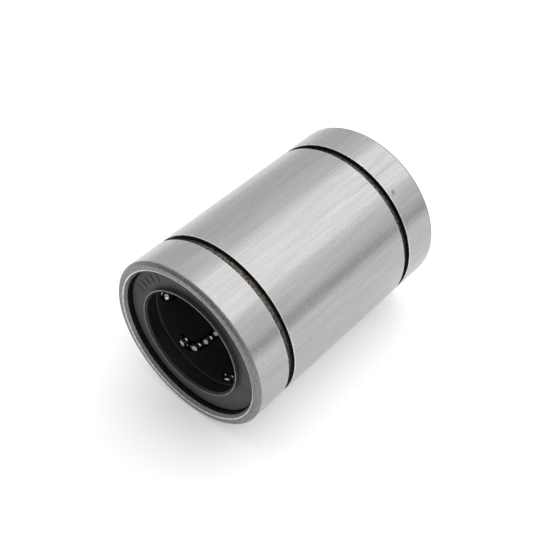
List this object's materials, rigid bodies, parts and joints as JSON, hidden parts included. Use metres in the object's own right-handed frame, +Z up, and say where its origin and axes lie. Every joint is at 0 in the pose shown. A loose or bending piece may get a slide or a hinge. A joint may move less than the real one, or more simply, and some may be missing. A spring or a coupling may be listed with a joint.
{
  "type": "linear ball bushing",
  "caption": "Linear ball bushing: ground steel sleeve with retaining-ring grooves, rubber end seals, and recirculating balls in a cage round a shaft bore.",
  "frame": {"origin": "on the bore axis, halfway along the bushing", "axes": "+Y along the bore from the front end to the rear end, +Z up with the barrel lying on its side, +X to the right seen from the front"},
  "size_m": [0.04, 0.059, 0.04],
  "materials": {
    "sleeve_steel": "fine ground, light axial streaks",
    "ring_steel": "dark oxide",
    "ball_steel": "polished",
    "cage_resin": "moulded, semi-matt",
    "seal_rubber": "matt"
  },
  "bodies": {
    "housing": {"outer_sleeve": "sleeve_steel", "ball_cage": "cage_resin", "front_side_ring": "ring_steel", "front_seal": "seal_rubber", "front_stop_ring": "ring_steel", "rear_side_ring": "ring_steel", "rear_seal": "seal_rubber", "rear_stop_ring": "ring_steel"},
    "circuit_1_loaded": {"circuit_1_loaded_row": "ball_steel"},
    "circuit_1_return": {"circuit_1_return_row": "ball_steel"},
    "circuit_1_front_turn": {"circuit_1_front_turn_ball_1": "ball_steel", "circuit_1_front_turn_ball_2": "ball_steel", "circuit_1_front_turn_ball_3": "ball_steel"},
    "circuit_1_rear_turn": {"circuit_1_rear_turn_ball_1": "ball_steel", "circuit_1_rear_turn_ball_2": "ball_steel", "circuit_1_rear_turn_ball_3": "ball_steel"},
    "circuit_2_loaded": {"circuit_2_loaded_row": "ball_steel"},
    "circuit_2_return": {"circuit_2_return_row": "ball_steel"},
    "circuit_2_front_turn": {"circuit_2_front_turn_ball_1": "ball_steel", "circuit_2_front_turn_ball_2": "ball_steel", "circuit_2_front_turn_ball_3": "ball_steel"},
    "circuit_2_rear_turn": {"circuit_2_rear_turn_ball_1": "ball_steel", "circuit_2_rear_turn_ball_2": "ball_steel", "circuit_2_rear_turn_ball_3": "ball_steel"},
    "circuit_3_loaded": {"circuit_3_loaded_row": "ball_steel"},
    "circuit_3_return": {"circuit_3_return_row": "ball_steel"},
    "circuit_3_front_turn": {"circuit_3_front_turn_ball_1": "ball_steel", "circuit_3_front_turn_ball_2": "ball_steel", "circuit_3_front_turn_ball_3": "ball_steel"},
    "circuit_3_rear_turn": {"circuit_3_rear_turn_ball_1": "ball_steel", "circuit_3_rear_turn_ball_2": "ball_steel", "circuit_3_rear_turn_ball_3": "ball_steel"},
    "circuit_4_loaded": {"circuit_4_loaded_row": "ball_steel"},
    "circuit_4_return": {"circuit_4_return_row": "ball_steel"},
    "circuit_4_front_turn": {"circuit_4_front_turn_ball_1": "ball_steel", "circuit_4_front_turn_ball_2": "ball_steel", "circuit_4_front_turn_ball_3": "ball_steel"},
    "circuit_4_rear_turn": {"circuit_4_rear_turn_ball_1": "ball_steel", "circuit_4_rear_turn_ball_2": "ball_steel", "circuit_4_rear_turn_ball_3": "ball_steel"},
    "circuit_5_loaded": {"circuit_5_loaded_row": "ball_steel"},
    "circuit_5_return": {"circuit_5_return_row": "ball_steel"},
    "circuit_5_front_turn": {"circuit_5_front_turn_ball_1": "ball_steel", "circuit_5_front_turn_ball_2": "ball_steel", "circuit_5_front_turn_ball_3": "ball_steel"},
    "circuit_5_rear_turn": {"circuit_5_rear_turn_ball_1": "ball_steel", "circuit_5_rear_turn_ball_2": "ball_steel", "circuit_5_rear_turn_ball_3": "ball_steel"},
    "circuit_6_loaded": {"circuit_6_loaded_row": "ball_steel"},
    "circuit_6_return": {"circuit_6_return_row": "ball_steel"},
    "circuit_6_front_turn": {"circuit_6_front_turn_ball_1": "ball_steel", "circuit_6_front_turn_ball_2": "ball_steel", "circuit_6_front_turn_ball_3": "ball_steel"},
    "circuit_6_rear_turn": {"circuit_6_rear_turn_ball_1": "ball_steel", "circuit_6_rear_turn_ball_2": "ball_steel", "circuit_6_rear_turn_ball_3": "ball_steel"}
  },
  "joints": [
    {"name": "circuit_1_roll", "type": "slide", "parent": "housing", "child": "circuit_1_loaded", "axis": [0, 1, 0], "range_m": [-0.00161, 0.00161]},
    {"name": "circuit_1_return_slide", "type": "slide", "parent": "housing", "child": "circuit_1_return", "axis": [0, 1, 0], "range_m": [-0.00161, 0.00161]},
    {"name": "circuit_1_front_turn_swing", "type": "hinge", "parent": "housing", "child": "circuit_1_front_turn", "pos_m": [0.01406, -0.01932, -0.00202], "axis": [-1, 0, -0.008], "range_deg": [-30, 30]},
    {"name": "circuit_1_rear_turn_swing", "type": "hinge", "parent": "housing", "child": "circuit_1_rear_turn", "pos_m": [0.01406, 0.01932, -0.00202], "axis": [-1, 0, -0.008], "range_deg": [-30, 30]},
    {"name": "circuit_2_roll", "type": "slide", "parent": "housing", "child": "circuit_2_loaded", "axis": [0, 1, 0], "range_m": [-0.00161, 0.00161]},
    {"name": "circuit_2_return_slide", "type": "slide", "parent": "housing", "child": "circuit_2_return", "axis": [0, 1, 0], "range_m": [-0.00161, 0.00161]},
    {"name": "circuit_2_front_turn_swing", "type": "hinge", "parent": "housing", "child": "circuit_2_front_turn", "pos_m": [0.00878, -0.01932, 0.01117], "axis": [-0.4931, 0, -0.87], "range_deg": [-30, 30]},
    {"name": "circuit_2_rear_turn_swing", "type": "hinge", "parent": "housing", "child": "circuit_2_rear_turn", "pos_m": [0.00878, 0.01932, 0.01117], "axis": [-0.4931, 0, -0.87], "range_deg": [-30, 30]},
    {"name": "circuit_3_roll", "type": "slide", "parent": "housing", "child": "circuit_3_loaded", "axis": [0, 1, 0], "range_m": [-0.00161, 0.00161]},
    {"name": "circuit_3_return_slide", "type": "slide", "parent": "housing", "child": "circuit_3_return", "axis": [0, 1, 0], "range_m": [-0.00161, 0.00161]},
    {"name": "circuit_3_front_turn_swing", "type": "hinge", "parent": "housing", "child": "circuit_3_front_turn", "pos_m": [-0.00528, -0.01932, 0.01319], "axis": [0.5069, 0, -0.862], "range_deg": [-30, 30]},
    {"name": "circuit_3_rear_turn_swing", "type": "hinge", "parent": "housing", "child": "circuit_3_rear_turn", "pos_m": [-0.00528, 0.01932, 0.01319], "axis": [0.5069, 0, -0.862], "range_deg": [-30, 30]},
    {"name": "circuit_4_roll", "type": "slide", "parent": "housing", "child": "circuit_4_loaded", "axis": [0, 1, 0], "range_m": [-0.00161, 0.00161]},
    {"name": "circuit_4_return_slide", "type": "slide", "parent": "housing", "child": "circuit_4_return", "axis": [0, 1, 0], "range_m": [-0.00161, 0.00161]},
    {"name": "circuit_4_front_turn_swing", "type": "hinge", "parent": "housing", "child": "circuit_4_front_turn", "pos_m": [-0.01406, -0.01932, 0.00202], "axis": [1, 0, 0.008], "range_deg": [-30, 30]},
    {"name": "circuit_4_rear_turn_swing", "type": "hinge", "parent": "housing", "child": "circuit_4_rear_turn", "pos_m": [-0.01406, 0.01932, 0.00202], "axis": [1, 0, 0.008], "range_deg": [-30, 30]},
    {"name": "circuit_5_roll", "type": "slide", "parent": "housing", "child": "circuit_5_loaded", "axis": [0, 1, 0], "range_m": [-0.00161, 0.00161]},
    {"name": "circuit_5_return_slide", "type": "slide", "parent": "housing", "child": "circuit_5_return", "axis": [0, 1, 0], "range_m": [-0.00161, 0.00161]},
    {"name": "circuit_5_front_turn_swing", "type": "hinge", "parent": "housing", "child": "circuit_5_front_turn", "pos_m": [-0.00878, -0.01932, -0.01117], "axis": [0.4931, 0, 0.87], "range_deg": [-30, 30]},
    {"name": "circuit_5_rear_turn_swing", "type": "hinge", "parent": "housing", "child": "circuit_5_rear_turn", "pos_m": [-0.00878, 0.01932, -0.01117], "axis": [0.4931, 0, 0.87], "range_deg": [-30, 30]},
    {"name": "circuit_6_roll", "type": "slide", "parent": "housing", "child": "circuit_6_loaded", "axis": [0, 1, 0], "range_m": [-0.00161, 0.00161]},
    {"name": "circuit_6_return_slide", "type": "slide", "parent": "housing", "child": "circuit_6_return", "axis": [0, 1, 0], "range_m": [-0.00161, 0.00161]},
    {"name": "circuit_6_front_turn_swing", "type": "hinge", "parent": "housing", "child": "circuit_6_front_turn", "pos_m": [0.00528, -0.01932, -0.01319], "axis": [-0.5069, 0, 0.862], "range_deg": [-30, 30]},
    {"name": "circuit_6_rear_turn_swing", "type": "hinge", "parent": "housing", "child": "circuit_6_rear_turn", "pos_m": [0.00528, 0.01932, -0.01319], "axis": [-0.5069, 0, 0.862], "range_deg": [-30, 30]}
  ],
  "couplings": [
    {"joint": "circuit_1_return_slide", "follows": "circuit_1_roll", "ratio": -1},
    {"joint": "circuit_1_front_turn_swing", "follows": "circuit_1_roll", "rad_per_m": 325.21},
    {"joint": "circuit_1_rear_turn_swing", "follows": "circuit_1_roll", "rad_per_m": 325.21},
    {"joint": "circuit_2_return_slide", "follows": "circuit_2_roll", "ratio": -1},
    {"joint": "circuit_2_front_turn_swing", "follows": "circuit_2_roll", "rad_per_m": 325.21},
    {"joint": "circuit_2_rear_turn_swing", "follows": "circuit_2_roll", "rad_per_m": 325.21},
    {"joint": "circuit_3_return_slide", "follows": "circuit_3_roll", "ratio": -1},
    {"joint": "circuit_3_front_turn_swing", "follows": "circuit_3_roll", "rad_per_m": 325.21},
    {"joint": "circuit_3_rear_turn_swing", "follows": "circuit_3_roll", "rad_per_m": 325.21},
    {"joint": "circuit_4_return_slide", "follows": "circuit_4_roll", "ratio": -1},
    {"joint": "circuit_4_front_turn_swing", "follows": "circuit_4_roll", "rad_per_m": 325.21},
    {"joint": "circuit_4_rear_turn_swing", "follows": "circuit_4_roll", "rad_per_m": 325.21},
    {"joint": "circuit_5_return_slide", "follows": "circuit_5_roll", "ratio": -1},
    {"joint": "circuit_5_front_turn_swing", "follows": "circuit_5_roll", "rad_per_m": 325.21},
    {"joint": "circuit_5_rear_turn_swing", "follows": "circuit_5_roll", "rad_per_m": 325.21},
    {"joint": "circuit_6_return_slide", "follows": "circuit_6_roll", "ratio": -1},
    {"joint": "circuit_6_front_turn_swing", "follows": "circuit_6_roll", "rad_per_m": 325.21},
    {"joint": "circuit_6_rear_turn_swing", "follows": "circuit_6_roll", "rad_per_m": 325.21}
  ]
}
